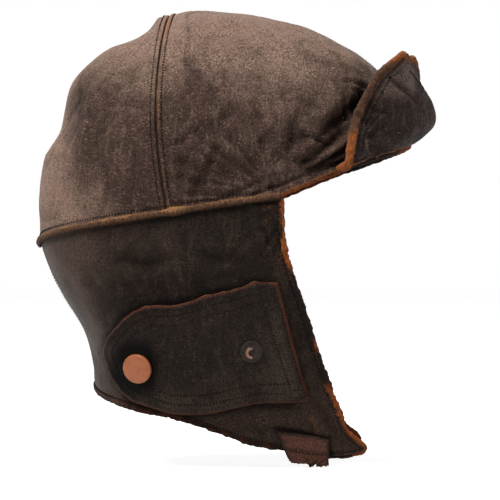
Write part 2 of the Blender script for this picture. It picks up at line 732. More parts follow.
def stitches(name, rows, body, slant=0.0):
    """Thread stitches along rows of (points, normals), each a short strand that dives in at its ends."""
    turns = [2 * math.pi * j / STRAND_SIDES for j in range(STRAND_SIDES)]
    flat, faces = [], []
    for points, normals in rows:
        points, normals = resample(points, normals, STITCH_PITCH)
        tangents, sideways, upward = path_frames(points, normals)
        for i in range(1, len(points) - 1):
            lean = tangents[i] * math.cos(slant) + sideways[i] * math.sin(slant)
            cross = np.cross(upward[i], lean)
            faces += tube_faces(len(STRAND), STRAND_SIDES, len(flat))
            for place, height in STRAND:
                centre = points[i] + lean * place * STITCH_LENGTH + upward[i] * height * THREAD
                for turn in turns:
                    outward = cross * math.cos(turn) + upward[i] * math.sin(turn)
                    flat.append(centre + outward * THREAD / 2)
    carried(new_mesh(name, np.array(flat), faces, "thread"), body)


def column_path(points, distances, inset):
    """Path over the grid at this distance from a side, read row by row, with the surface's own normals."""
    path = []
    for row, gaps in zip(points, distances):
        order = np.argsort(gaps)
        path.append([np.interp(inset, gaps[order], row[order, axis]) for axis in range(3)])
    return np.array(path)


def away_normals(path, side=RIGHT):
    """Outward directions of the head form beside each point of a path."""
    azimuth = np.arctan2(-path[:, 1] * side, path[:, 0] - POLE_X)
    elevation = np.arctan2(path[:, 2], np.hypot(path[:, 1], path[:, 0] - POLE_X)) * 2 / math.pi
    rise = np.where(path[:, 2] > 0, elevation, path[:, 2] / (CROWN_HEIGHT * math.pi / 2))
    return skin_normals(azimuth, rise, side)


def sewn_row(grid, gaps, inset, side, kept):
    """Kept part of the path at this distance from a side of the grid, with its outward directions."""
    path = column_path(grid, gaps, inset)[kept]
    return path, away_normals(path, side)


def srgb(red, green, blue):
    """Linear colour from display values of 0 to 255."""
    colour = []
    for share in (red / 255, green / 255, blue / 255):
        colour.append(share / 12.92 if share <= 0.04 else ((share + 0.055) / 1.055) ** 2.4)
    return (*colour, 1)


def join(tree, value, socket):
    """Feeds a socket from another one, or sets it to a number or colour."""
    if isinstance(value, bpy.types.NodeSocket):
        tree.links.new(value, socket)
    else:
        socket.default_value = value


def sum_node(tree, operation, first, second):
    node = tree.nodes.new("ShaderNodeMath")
    node.operation = operation
    join(tree, first, node.inputs[0])
    join(tree, second, node.inputs[1])
    return node.outputs[0]


class Finish:
    """Node tree of one material, with short calls for the nodes that the finishes share."""

    def __init__(self, name, roughness=0.6, metallic=0.0, specular=0.5):
        self.material = bpy.data.materials.new(name)
        self.material.use_nodes = True
        self.tree = self.material.node_tree
        self.shader = self.tree.nodes["Principled BSDF"]
        self.set(Roughness=roughness, Metallic=metallic)
        self.shader.inputs["Specular IOR Level"].default_value = specular
        self.place = self.tree.nodes.new("ShaderNodeTexCoord").outputs["Object"]

    def set(self, **values):
        for key, value in values.items():
            self.shader.inputs[key].default_value = value

    def node(self, kind, **values):
        """New node with its inputs fed or set."""
        node = self.tree.nodes.new("ShaderNode" + kind)
        for key, value in values.items():
            join(self.tree, value, node.inputs[key])
        return node

    def grain(self, scale, detail, roughness, stretch=None, distortion=0.0):
        place = self.place
        if stretch:
            place = self.node("Mapping", Scale=stretch, Vector=place).outputs["Vector"]
        node = self.node("TexNoise", Scale=scale, Detail=detail, Roughness=roughness, Distortion=distortion,
                         Vector=place)
        return node.outputs["Fac"]

    def cracks(self, scale):
        """Distance to the nearest edge between cells."""
        node = self.node("TexVoronoi", Scale=scale, Vector=self.place)
        node.feature = "DISTANCE_TO_EDGE"
        return node.outputs["Distance"]

    def field(self, name):
        node = self.node("Attribute")
        node.attribute_name = name
        return node.outputs["Fac"]

    def span(self, value, low, high, to_low=0.0, to_high=1.0):
        node = self.node("MapRange", Value=value)
        node.interpolation_type = "SMOOTHSTEP"
        for key, number in (("From Min", low), ("From Max", high), ("To Min", to_low), ("To Max", to_high)):
            node.inputs[key].default_value = number
        return node.outputs["Result"]

    def times(self, value, amount):
        return sum_node(self.tree, "MULTIPLY", value, amount)

    def swing(self, value, amount):
        """Noise counted from its middle value of 0.5, times the amount."""
        return self.times(sum_node(self.tree, "SUBTRACT", value, 0.5), amount)

    def add(self, total, *values):
        for value in values:
            total = sum_node(self.tree, "ADD", total, value)
        return total

    def mix(self, share, first, second):
        node = self.node("Mix")
        node.data_type = "RGBA"
        for index, value in ((0, share), (6, first), (7, second)):
            join(self.tree, value, node.inputs[index])
        return node.outputs[2]

    def bump(self, height, strength, depth):
        return self.node("Bump", Strength=strength, Distance=depth, Height=height).outputs["Normal"]

    def wear(self, colour, normal, roughness=None):
        """Ends the finish: its colour and surface, and where given its roughness."""
        join(self.tree, colour, self.shader.inputs["Base Color"])
        join(self.tree, normal, self.shader.inputs["Normal"])
        if roughness is not None:
            join(self.tree, roughness, self.shader.inputs["Roughness"])
        return self.material


def leather(name, dark, plain, light, worn, gloss=(0.5, 0.7), specular=0.05):
    """Old oiled leather: mottled, crazed, darker in creases, rubbed through where the wear field says."""
    dark, plain, light, worn = (srgb(*colour) for colour in (dark, plain, light, worn))
    finish = Finish(name, specular=specular)
    broad = finish.grain(17, 3, 0.5)
    patch = finish.grain(85, 5, 0.6)
    fine = finish.grain(950, 3, 0.6)
    streak = finish.grain(170, 5, 0.65, (1.0, 1.0, 0.3), 0.8)
    scratch = finish.grain(330, 4, 0.65, (0.6, 1.0, 1.3), 2.5)
    craze = finish.cracks(620)
    tone = finish.add(finish.times(broad, 0.55), finish.times(patch, 0.45),
                      finish.times(finish.field("tone"), 0.3))
    colour = finish.mix(finish.span(tone, 0.44, 0.78, 0.0, 0.9), plain, light)
    colour = finish.mix(finish.span(patch, 0.46, 0.3, 0.0, 0.22), colour, dark)
    colour = finish.mix(finish.span(streak, 0.48, 0.72, 0.0, 0.45), colour, light)
    colour = finish.mix(finish.span(scratch, 0.54, 0.7, 0.0, 0.6), colour, light)
    colour = finish.mix(finish.span(fine, 0.36, 0.58, 0.55, 0.0), colour, dark)
    cracked = finish.times(finish.span(craze, 0.0, 0.12, 1.0, 0.0), finish.span(patch, 0.4, 0.62, 0.15, 0.6))
    colour = finish.mix(cracked, colour, dark)
    rub = finish.add(finish.field("wear"), finish.swing(fine, 1.3), finish.swing(patch, 0.8))
    colour = finish.mix(finish.span(rub, 0.35, 1.0), colour, worn)
    colour = finish.mix(finish.field("shade"), colour, tuple(value * 0.22 for value in dark[:3]) + (1,))
    height = finish.add(finish.span(craze, 0.0, 0.14, -0.5, 0.0), finish.times(fine, 1.1),
                        finish.times(streak, 1.1), finish.times(patch, 2.0))
    roughness = finish.span(tone, 0.35, 0.7, gloss[1], gloss[0])
    return finish.wear(colour, finish.bump(height, 1.0, 0.7 * MM), roughness)


def suede(name, deep, plain, bright):
    """Raw flesh side and cut edges: fibrous, matt, from brown to rust."""
    deep, plain, bright = (srgb(*colour) for colour in (deep, plain, bright))
    finish = Finish(name, roughness=0.95, specular=0.08)
    finish.set(**{"Sheen Weight": 0.08, "Sheen Roughness": 0.5})
    fibre = finish.grain(1100, 4, 0.7, (1.0, 1.0, 0.5))
    clump = finish.grain(260, 5, 0.7)
    rust = finish.add(finish.field("rust"), finish.swing(clump, 1.2))
    colour = finish.mix(finish.span(rust, 0.1, 0.55), deep, plain)
    colour = finish.mix(finish.span(rust, 0.55, 1.1), colour, bright)
    colour = finish.mix(finish.span(fibre, 0.38, 0.6, 0.55, 0.0), colour, deep)
    return finish.wear(colour, finish.bump(finish.add(fibre, clump), 1.0, 1.0 * MM))


def woven(name, plain, shadow):
    """Plain cotton lining with a fine crossed weave."""
    plain, shadow = srgb(*plain), srgb(*shadow)
    finish = Finish(name, roughness=0.92, specular=0.2)
    finish.set(**{"Sheen Weight": 0.15})
    threads = []
    for axis in ("X", "Z"):
        wave = finish.node("TexWave", Scale=260, Distortion=1.2, Detail=1.0, Vector=finish.place)
        wave.bands_direction = axis
        threads.append(wave.outputs["Fac"])
    weave = finish.times(*threads)
    stain = finish.grain(40, 4, 0.6)
    colour = finish.mix(finish.span(stain, 0.4, 0.7, 0.0, 0.6), plain, shadow)
    colour = finish.mix(finish.span(weave, 0.0, 0.5, 0.35, 0.0), colour, shadow)
    return finish.wear(colour, finish.bump(weave, 0.5, 0.3 * MM))


def metal(name, plain, tarnish, roughness, metallic, specular=0.5):
    """Painted or tarnished metal with rubbed patches and fine scratches."""
    plain, tarnish = srgb(*plain), srgb(*tarnish)
    finish = Finish(name, roughness=roughness, metallic=metallic, specular=specular)
    cloud = finish.grain(330, 4, 0.6)
    scratch = finish.grain(1500, 3, 0.6, (1.0, 1.0, 0.08))
    colour = finish.mix(finish.span(cloud, 0.45, 0.72, 0.0, 0.6), plain, tarnish)
    colour = finish.mix(finish.span(scratch, 0.6, 0.75, 0.0, 0.25), colour, tarnish)
    rough = finish.span(cloud, 0.3, 0.7, roughness * 0.8, min(roughness * 1.35, 1))
    return finish.wear(colour, finish.bump(scratch, 0.12, 0.1 * MM), rough)


def thread_finish(name, plain, light):
    finish = Finish(name, roughness=0.8, specular=0.1)
    twist = finish.grain(2600, 2, 0.5)
    colour = finish.mix(finish.span(twist, 0.4, 0.65), srgb(*plain), srgb(*light))
    return finish.wear(colour, finish.bump(twist, 0.5, 0.15 * MM))


def make_finishes():
    """Every finish, its colours as display values."""
    return {
        "crown": leather("crown_leather_worn", (34, 24, 19), (79, 61, 53), (160, 131, 115), (148, 102, 70)),
        "side": leather("side_leather_worn", (18, 15, 13), (41, 34, 30), (90, 71, 60), (142, 86, 46)),
        "flap": leather("flap_leather_worn", (20, 16, 14), (46, 38, 35), (88, 74, 63), (80, 45, 32)),
        "visor": leather("visor_leather_worn", (22, 16, 14), (50, 39, 36), (134, 112, 102), (128, 92, 68),
                         specular=0.07),
        "welt": leather("welt_leather_rubbed", (54, 38, 28), (98, 72, 54), (124, 92, 70), (150, 108, 72),
                        gloss=(0.55, 0.75)),
        "tab": leather("tab_leather_worn", (34, 18, 14), (104, 64, 50), (134, 88, 68), (132, 80, 48),
                       gloss=(0.42, 0.6), specular=0.14),
        "tape": leather("tape_leather", (60, 44, 32), (104, 78, 56), (130, 100, 74), (150, 116, 84),
                        gloss=(0.6, 0.8)),
        "edge": suede("raw_cut_edge", (44, 26, 18), (92, 50, 28), (140, 76, 38)),
        "suede": suede("rust_suede", (36, 23, 17), (98, 52, 28), (158, 84, 34)),
        "bead": suede("bead_leather", (38, 27, 22), (104, 68, 46), (160, 90, 40)),
        "lining": woven("cotton_lining", (150, 132, 106), (104, 88, 68)),
        "thread": thread_finish("dark_thread", (8, 6, 5), (15, 11, 9)),
        "copper": metal("copper_paint", (154, 84, 43), (118, 62, 36), 0.4, 0.15),
        "brass": metal("old_brass", (122, 98, 62), (66, 52, 34), 0.45, 0.85),
        "dark": metal("blackened_stud", (46, 38, 34), (16, 12, 10), 0.5, 0.1, specular=0.15),
        "rubbed": metal("rubbed_stud", (124, 90, 70), (52, 38, 30), 0.4, 0.5),
    }


def seam_azimuth(rise):
    return math.pi / 2 + SEAM_LEAN * np.sin(math.pi * np.clip(rise, 0, 1))


def crown_place(across, up, is_front):
    """Azimuth and rise in a crown quarter, from the centre line to the seam and from the band to the pole."""
    azimuth = math.pi / 2 * across if is_front else math.pi - math.pi / 2 * across
    for _ in range(3):
        start = rise_at(azimuth, band_z(azimuth))
        rise = start + (PANEL_END_RISE - start) * up
        seam = seam_azimuth(rise)
        ring = form_points(azimuth, rise)
        radius = np.hypot(ring[..., 0] - POLE_X, ring[..., 1])
        inset = np.arcsin(np.minimum(SEAM_GAP / 5 / radius, 0.5))
        if is_front:
            azimuth = inset + (seam - 2 * inset) * across
        else:
            azimuth = math.pi - inset - (math.pi - seam - 2 * inset) * across
    return azimuth, rise


def grid_shares(counts):
    """Even shares from 0 to 1 across and down a grid of this many columns and rows."""
    return np.meshgrid(*(np.linspace(0, 1, count) for count in counts))


def crowded(count, share=0.5):
    """Places from 0 to 1 that lie closer together toward both ends."""
    even = np.linspace(0, 1, count)
    return (1 - share) * even + share * (0.5 - 0.5 * np.cos(math.pi * even))


def slack(azimuth, rise):
    """Sagging of the soft crown behind the ear-to-ear seam, low at the back and above the forehead."""
    base = form_points(azimuth, rise)
    sunk = SLACK_DEPTH * near(POLE_X - base[..., 0], 20, 13) * ramp(base[..., 2], 50, 75)
    sunk = sunk + LOW_SLACK_DEPTH * bell(math.pi - azimuth, 0.8) * bell(rise - 0.375, 0.08)
    return sunk + LOW_SLACK_DEPTH * bell(azimuth, 0.9) * bell(rise - 0.55, 0.14)


def crown_grid(side, is_front):
    """Places of a crown quarter, with the distances and marks that its shape and colour share."""
    columns = CROWN_FRONT_COLUMNS if is_front else CROWN_BACK_COLUMNS
    across, up = np.meshgrid(crowded(columns), crowded(CROWN_ROWS, 0.35))
    azimuth, rise = crown_place(across, up, is_front)
    base = skin(azimuth, rise, 0.0, side)
    centre, seam, band, _ = grid_distances(base)
    x, z = base[..., 0], base[..., 2]
    nearest = np.minimum(centre, seam)
    return SimpleNamespace(
        is_front=is_front, azimuth=azimuth, rise=rise, base=base, x=x, z=z,
        centre=centre, seam=seam, band=band, nearest=nearest,
        puff=np.sin(math.pi * across) ** 0.8 * np.sin(math.pi * up) ** 0.8,
        calm=0.15 + 0.85 * ramp(nearest, 0, 14) * ramp(band, 0, 9),
        behind=smoothstep((azimuth - TEMPLE) / 0.1),
        creased=creases(x, z, CROWN_CREASES),
        folds=is_front * (fan(x, z, FAN_TEMPLE, 38, 71.0) + 1.1 * fan(x, z, FAN_VISOR, 24, 73.0)),
        wrinkles=wrinkled(base, 19, 11.3, (1.0, 1.0, 1.7), 45, 5.5, 0.4),
        fine_wrinkles=wrinkled(base, 8, 91.0, (1.0, 1.0, 1.5), 30, 93.0, 0.3),
    )


def crown_relief(quarter):
    """Height over the head form: puff, folds and wrinkles, drawn down along the seams and the edge."""
    nearest, band, behind, calm = quarter.nearest, quarter.band, quarter.behind, quarter.calm
    relief = PANEL_PUFF * quarter.puff + calm * MM * waves(quarter.base, (1.5, 42, 3.1), (0.55, 16, 7.7))
    relief -= calm * MM * (0.9 * quarter.wrinkles + 0.55 * quarter.fine_wrinkles) + 2.0 * quarter.creased
    relief += calm * 1.9 * MM * quarter.folds
    roll = 0.35 * MM if quarter.is_front else 0.0
    relief += 0.45 * MM * ramp(nearest, 3.6, 2.6) + roll * near(quarter.seam, 1.2, 0.8)
    relief -= 0.9 * MM * near(nearest, 0, 0.35) + groove(nearest, SEAM_STITCH_INSET)
    relief -= behind * (0.6 * MM * near(band, 0, 1.8) + groove(band, WELT_STITCH_INSET))
    relief += (1 - behind) * MM * (0.7 * near(band, 1.5, 2) - 1.3 * near(band, 4.8, 1.1))
    return relief - slack(quarter.azimuth, quarter.rise)


def crown_fields(quarter):
    """Wear, shade and tone of the crown's leather."""
    x, z, centre, band = quarter.x, quarter.z, quarter.centre, quarter.band
    behind, folds = quarter.behind, quarter.folds
    wear = (0.55 if quarter.is_front else 0.35) * near(quarter.seam, 1.5, 1.2) + 0.4 * near(centre, 1.5, 1.3)
    wear += 0.25 * np.clip(folds, 0, 1)
    wear += (1 - behind) * 0.8 * near(band, 0, 2.2) + behind * 0.3 * near(band, 2.4, 1.0)
    wear += 0.3 * ramp(z, 84, 100) + 0.35 * near(centre, 4, 5)
    wear += 0.3 * near(centre, 0, 8) * ramp(x, 22, 34) * ramp(x, 72, 57)
    wear += behind * 0.35 * near(x, EAR_SEAM_X, 4) * near(band, 2, 3)
    wear += 0.28 * np.clip(creases(x, z + 3 * MM, CROWN_CREASES) / (1.5 * MM), 0, 1)
    shade = np.clip(quarter.creased / (2.6 * MM), 0, 0.75) + 0.7 * near(quarter.nearest, 0, 0.35)
    shade += 0.3 * quarter.wrinkles + 0.25 * quarter.calm * quarter.fine_wrinkles
    shade += 0.4 * np.clip(-folds, 0, 1) + 0.55 * (1 - behind) * near(band, 4.8, 1)
    tone = 1.3 * ramp(z, 40, 100) + 1.5 * ramp(x, -72, -94) - 0.3 + spot(x, z, (-72, 5), 17)
    return {"wear": wear, "shade": np.clip(shade, 0, 0.9), "tone": tone, "rust": 0.05}


def crown_quarter(side_name, side, is_front):
    """One puffed quarter of the crown, with its seam allowances, creases and topstitching."""
    quarter = crown_grid(side, is_front)
    name = f"crown_{'front' if is_front else 'back'}_{side_name}"
    points = skin(quarter.azimuth, quarter.rise, crown_relief(quarter), side)
    panel = sheet(name + "_leather", points, LEATHER, "crown", fields=crown_fields(quarter))
    slotted(panel, "helmet", "crown_leather", name)
    rows = []
    for gaps in (quarter.centre, quarter.seam):
        rows.append(sewn_row(points, gaps, SEAM_STITCH_INSET, side, slice(6, -8)))
    behind_temple = quarter.azimuth[0] > TEMPLE
    rows.append(sewn_row(points.transpose(1, 0, 2), quarter.band.T, WELT_STITCH_INSET, side, behind_temple))
    stitches(name + "_stitches", rows, "helmet", slant=0.25 if is_front else 0.0)


def crown_lining():
    """Cloth lining under the whole crown, which sags with it."""
    turn, up = grid_shares(CROWN_LINING_GRID)
    turn = turn * 2 * math.pi
    azimuth = np.minimum(turn, 2 * math.pi - turn)
    start = rise_at(azimuth, band_z(azimuth) + LINING_INSET)
    rise = start + (LINING_END_RISE - start) * up
    ripple = 0.35 * MM * noise_field(form_points(azimuth, rise), 24 * MM, 2.2)
    points = skin(azimuth, rise, ripple - LEATHER - LINING_DEPTH + CLOTH - slack(azimuth, rise))
    points[..., 1] *= np.where(turn <= math.pi, 1, -1)
    slotted(sheet("crown_lining_cloth", points, CLOTH, "lining"), "helmet", "lining_cloth", "crown_lining")


def seam_section():
    """Flat strip, its outer face on the path, with the seam allowances standing up in its middle."""
    edge, shoulder = TAPE_WIDTH / 2, 0.46 * TAPE_WIDTH
    right = [(edge, -0.2 * TAPE_THICKNESS), (shoulder, 0), (SEAM_FILL_FOOT, 0), (SEAM_FILL_HEAD, SEAM_FILL)]
    left = [(-x, height) for x, height in reversed(right)]
    return [(-edge, -TAPE_THICKNESS), (edge, -TAPE_THICKNESS)] + right + left


def tape(name, points, normals):
    """Leather strip behind a seam."""
    strip = swept(name + "_leather", points, normals, seam_section(), "tape")
    slotted(strip, "helmet", "seam_tape", name)


def seam_tapes():
    """Leather strips behind the crown seams and the neck seam."""
    depth = -LEATHER - HOLLOW_SEAT
    half = np.linspace(0, 1, TAPE_POINTS)
    start = rise_at(math.pi / 2, band_z(math.pi / 2) + WELT_WIDTH)
    rise = start + (TAPE_END_RISE - start) * half
    azimuth = seam_azimuth(rise)
    dip = depth - POLE_DIP * half ** 6 - slack(azimuth, rise)
    right, left = (skin_path(azimuth, rise, dip, side) for side in (RIGHT, LEFT))
    tape("ear_to_ear_seam_tape", *(np.concatenate([up, down[::-1]]) for up, down in zip(right, left)))
    for name, azimuth, end in (
        ("front_seam_tape", 0.0, FRONT_TAPE_END_RISE),
        ("back_seam_tape", math.pi, BACK_TAPE_END_RISE),
    ):
        start = rise_at(azimuth, band_z(azimuth) - 0.2 * MM)
        rise = start + (end - start) * half
        tape(name, *skin_path(azimuth, rise, depth - slack(azimuth, rise)))
    top = BAND_BACK_Z - SEAM_GAP
    foot = HEM_SHARES[0][1] * WALL_DROP + SEAM_GAP
    tape("neck_seam_tape", *skin_path(math.pi, rise_at(math.pi, top + (foot - top) * half), depth))


def welt(side_name, side):
    """Rubbed folded strip between crown and side panel, lumpy where the ear seam ends in it."""
    azimuth = np.linspace(TEMPLE - 0.01, math.pi, WELT_POINTS)
    height = CURVED_SEAT * 0.5 + WELT_THICKNESS * 0.45
    points, normals = skin_path(azimuth, rise_at(azimuth, band_z(azimuth)), height, side)
    lump = 1 + 0.3 * near(points[:, 0], EAR_SEAM_X, 3.2) + waves(points, (0.1, 7, 1.9), (0.05, 2.6, 4.4))
    points = points + normals * (0.35 * MM * noise_field(points, 9 * MM, 8.8))[:, None]
    section = oval_section(WELT_WIDTH * 0.9, WELT_THICKNESS * 1.6, squareness=2.1)
    obj = swept(f"crown_welt_{side_name}_leather", points, normals, section, "welt", lump)
    places = vertex_places(obj).reshape(len(azimuth), -1, 3)
    above = places[..., 2] - places[..., 2].mean(axis=1, keepdims=True)
    set_field(obj, "wear", 0.2 + 0.35 * ramp(above, 0, 1) + 0.5 * near(places[..., 0], EAR_SEAM_X, 5))
    set_field(obj, "shade", 0.75 * ramp(above, -0.5, -1.7))
    slotted(obj, "helmet", "worn_edge", f"crown_welt_{side_name}")


def outline_on_form(shares):
    places = np.array(shares) * WALL_DROP
    azimuth, _ = seen_at(POLE_X + places[:, 0], places[:, 1])
    return list(zip(azimuth.tolist(), places[:, 1].tolist()))


def panel_edges():
    """Top, hem, back and face edges of the right side panel as (azimuth, height) functions of a share."""
    drop = WELT_WIDTH / 4
    face = [(TEMPLE, float(band_z(TEMPLE)) - drop)]
    face += outline_on_form([(x, -z) for x, z in FACE_EDGE_SHARES[1:]])
    hem = [(BACK_EDGE, HEM_SHARES[0][1] * WALL_DROP)] + outline_on_form(HEM_SHARES[1:])

    def top_edge(share):
        azimuth = BACK_EDGE + (TEMPLE - BACK_EDGE) * share
        return [azimuth, band_z(azimuth) - drop]

    def hem_edge(share):
        return along_points(hem, share)

    def back_edge(share):
        start = float(band_z(BACK_EDGE)) - drop
        return [np.full_like(share, BACK_EDGE), start + (hem[0][1] - start) * share]

    def face_edge(share):
        return along_points(face, share)

    return top_edge, hem_edge, back_edge, face_edge


def panel_place(u, v):
    """Azimuth and height inside the side panel, blended from its four edges."""
    top_edge, hem_edge, back_edge, face_edge = EDGES
    u, v = np.broadcast_arrays(np.asarray(u, float), np.asarray(v, float))
    ends = np.array([0.0, 1.0])
    parts = []
    for axis in range(2):
        across = (1 - v) * top_edge(u)[axis] + v * hem_edge(u)[axis]
        down = (1 - u) * back_edge(v)[axis] + u * face_edge(v)[axis]
        top, foot = top_edge(ends)[axis], hem_edge(ends)[axis]
        corners = (1 - u) * (1 - v) * top[0] + u * (1 - v) * top[1] + (1 - u) * v * foot[0] + u * v * foot[1]
        parts.append(across + down - corners)
    return parts


def tip_drop(points):
    """The soft tip of the cheek hangs lower than its pattern."""
    drop = TIP_DROP * ramp(points[..., 0], 38, 46) * ramp(points[..., 2], -100, -112)
    return points + np.stack([0.5 * drop, 0 * drop, -drop], axis=-1)


def side_fields(x, z, base, gaps, creased, wrinkles, folds):
    """Wear, shade and tone of the side panel, dark beside the flap and the chin tab."""
    back, face, top, hem = gaps
    around_flap, _ = stroke_distance(x, z, flap_loop()[::3] / MM)
    around_tab, _ = stroke_distance(x, z, TAB_SHADOW)
    shade = np.clip(creased / (1.8 * MM), 0, 0.6) + 0.35 * wrinkles + 0.3 * np.clip(-folds, 0, 1)
    shade += 0.6 * near(back, 0, 0.6) + 0.85 * ramp(around_flap, 4.5, 0) * ramp(x, 40, 32)
    shade += 0.9 * ramp(around_tab, 2.5, 0) + 0.6 * bell(top - WELT_WIDTH / 2, 1.6 * MM)
    rubbed = smoothstep(noise_field(base, 9 * MM, 61.0) + 0.2)
    wear = 0.4 * near(face, 0, 2) + 0.35 * near(hem, 0, 1.5)
    wear += (0.3 + 0.3 * folds) * near(face, 6, 5) * ramp(z, -38, -24)
    wear += rubbed * (0.95 * near(face, 3, 9) * ramp(z, -84, -96) + 0.9 * spot(x, z, JAW_SPOT, 8))
    tone = 0.5 * ramp(z, -82, -107) + 1.1 * near(x, -88, 22) + 0.1 * ramp(z, -40, 0)
    return {"wear": wear, "shade": np.clip(shade, 0, 0.85), "tone": tone, "rust": 0.3}


def side_panel(side_name, side):
    """Neck and ear panel with its sewn edges."""
    azimuth, height = panel_place(*np.meshgrid(*(crowded(count, 0.4) for count in SIDE_PANEL_GRID)))
    rise = rise_at(azimuth, height)
    base = skin(azimuth, rise, 0.0, side)
    back, face, top, hem = grid_distances(base)
    x, z = base[..., 0], base[..., 2]
    creased = creases(x, z, SIDE_CREASES)
    folds = fan(x, z, FAN_FACE, 20, 75.0)
    wrinkles = wrinkled(base, 17, 23.1, (1.5, 1.0, 1.0), 40, 9.5, 0.3)
    calm = 0.25 + 0.75 * ramp(np.minimum(np.minimum(face, hem), back), 0, 10)
    relief = calm * MM * (waves(base, (1.0, 38, 13.1), (0.45, 14, 17.7)) - 0.6 * wrinkles + 1.3 * folds)
    relief -= 1.8 * creased + 1.4 * MM * near(back, 0, 0.9)
    for gaps, inset in ((face, EDGE_STITCH_INSET), (hem, EDGE_STITCH_INSET), (back, SEAM_STITCH_INSET)):
        relief += 0.3 * MM * smoothstep((inset - gaps) / MM) - groove(gaps, inset)
    under_flap = ramp(x - FOLD_TOP_X, 30, 22) * ramp(z - FOLD_TOP_Z, 0, -5)
    relief = relief * (1 - 0.8 * under_flap) - 0.3 * MM * under_flap
    points = skin(azimuth, rise, relief, side)
    reach = EDGE_REACH * ramp(np.hypot(face, hem), 0, 2.5)
    moves = [unit(np.gradient(points, axis=axis)) * (reach * ramp(gaps, 7, 0))[..., None]
             for axis, gaps in ((1, face), (0, hem))]
    points = tip_drop(points + moves[0] + moves[1])
    fields = side_fields(x, z, base, (back, face, top, hem), creased, wrinkles, folds)
    name = f"side_panel_{side_name}"
    panel = sheet(name + "_leather", points, LEATHER, "side", "edge", fields, ear_opening=True)
    slotted(panel, "helmet", "side_leather", name)
    rows = [
        sewn_row(grid, gaps, inset, side, slice(3, -3)) for grid, gaps, inset in (
            (points, face, EDGE_STITCH_INSET),
            (points, back, SEAM_STITCH_INSET),
            (points.transpose(1, 0, 2), hem.T, EDGE_STITCH_INSET),
        )
    ]
    stitches(name + "_stitches", rows, "helmet")


def side_lining(side_name, side):
    """Cloth behind the side panel, with the ear opening."""
    inset = LINING_INSET / WALL_DROP
    u, v = grid_shares(SIDE_LINING_GRID)
    azimuth, height = panel_place(inset * 0.5 + (1 - inset * 1.2) * u, inset + (1 - 2 * inset) * v)
    depth = -LEATHER - 2 * HOLLOW_SEAT - WASHER_THICKNESS
    points = skin(azimuth, rise_at(azimuth, height), depth, side)
    lining = sheet(f"side_lining_{side_name}_cloth", points, CLOTH, "lining", ear_opening=True)
    slotted(lining, "helmet", "lining_cloth", f"side_lining_{side_name}")


def outside_edge(points, normals, beyond, middle):
    """Path moved outward from the middle, square to itself."""
    _, sideways, _ = path_frames(points, normals)
    away = np.sum(sideways * (points - middle), axis=1, keepdims=True)
    return points + sideways * np.where(away < 0, -1, 1) * beyond


def eased(values, rounds):
    """Path or directions with their corners rounded off."""
    values = values.copy()
    for _ in range(rounds):
        values[1:-1] = (values[:-2] + values[1:-1] * 2 + values[2:]) / 4
    return values


def edge_binding(name, edge, ends, side, body_slot, rust, ragged):
    """Turned strip along an edge of the side panel, uneven as worn leather is."""
    azimuth, height = edge(np.linspace(*ends, BINDING_POINTS))
    rise = rise_at(azimuth, height)
    points, normals = skin_path(azimuth, rise, BINDING_PROUD - BINDING_THICKNESS / 2, side)
    middle_azimuth, middle_height = panel_place(0.5, 0.5)
    middle = skin(middle_azimuth, rise_at(middle_azimuth, middle_height), 0.0, side)
    points = tip_drop(outside_edge(eased(points, 4), eased(normals, 4), BINDING_WIDTH * 0.52, middle))
    scale = 1 + ragged * waves(points, (0.2, 5, 6.1), (0.16, 1.5, 2.7))
    jaw = ramp(points[:, 2], -80, -90) * ramp(points[:, 0], 0, 45)
    scale *= 1 + 0.3 * jaw - 0.45 * ramp(points[:, 2], -106, -113) * jaw
    section = oval_section(BINDING_WIDTH * 0.92, BINDING_THICKNESS * 0.9)
    obj = swept(name + "_leather", points, normals, section, "suede", scale)
    places = vertex_places(obj)
    set_field(obj, "rust", rust(places[:, 2]))
    set_field(obj, "wear", 0.25 + 0.3 * noise_field(places, 11 * MM, 3.3))
    slotted(obj, "helmet", body_slot, name)


def face_and_tip(share):
    """Face edge that runs on round the tip of the cheek onto the hem."""
    _, hem_edge, _, face_edge = EDGES
    face = face_edge(np.clip(share / TIP_SHARE, 0, 1))
    hem = hem_edge(np.clip(1 - (share - TIP_SHARE), 0.9, 1))
    return [np.where(share < TIP_SHARE, first, second) for first, second in zip(face, hem)]


def face_rust(z):
    """Rubbed to bare suede at the top and foot of the face edge, dark between with one bright patch."""
    ends = np.maximum(ramp(z, -34, -26), ramp(z, -85, -94))
    return 1.1 * np.maximum(ends, 0.8 * near(z, -68.5, 3.4))


def hem_rust(z):
    return np.full(z.shape, 0.22)


def edge_bindings(side_name, side):
    """Bindings of the face edge and of the lower edge."""
    edge_binding(f"face_binding_{side_name}", face_and_tip, FACE_BINDING_END_SHARES, side, "suede_edge",
                 face_rust, 1.3)
    edge_binding(f"hem_binding_{side_name}", EDGES[1], HEM_BINDING_END_SHARES, side, "side_leather",
                 hem_rust, 1.2)


def forehead_edge(side_name, side):
    """Frayed suede edge of the crown from the temple to the middle of the forehead."""
    azimuth = np.linspace(0.012, TEMPLE + 0.05, FOREHEAD_POINTS)
    points, normals = skin_path(azimuth, rise_at(azimuth, band_z(azimuth) - 0.1 * MM), -LEATHER * 0.4, side)
    scale = 1 + waves(points, (0.2, 5, 5.1), (0.16, 1.7, 9.2))
    section = oval_section(FOREHEAD_EDGE_WIDTH, FOREHEAD_EDGE_HEIGHT)
    obj = swept(f"forehead_edge_{side_name}", points, normals, section, "suede", scale)
    ahead = vertex_places(obj)[:, 0]
    set_field(obj, "rust", 0.85 - 0.75 * ramp(ahead, 60, 66) * ramp(ahead, 93, 88))
    slotted(obj, "helmet", "suede_edge")


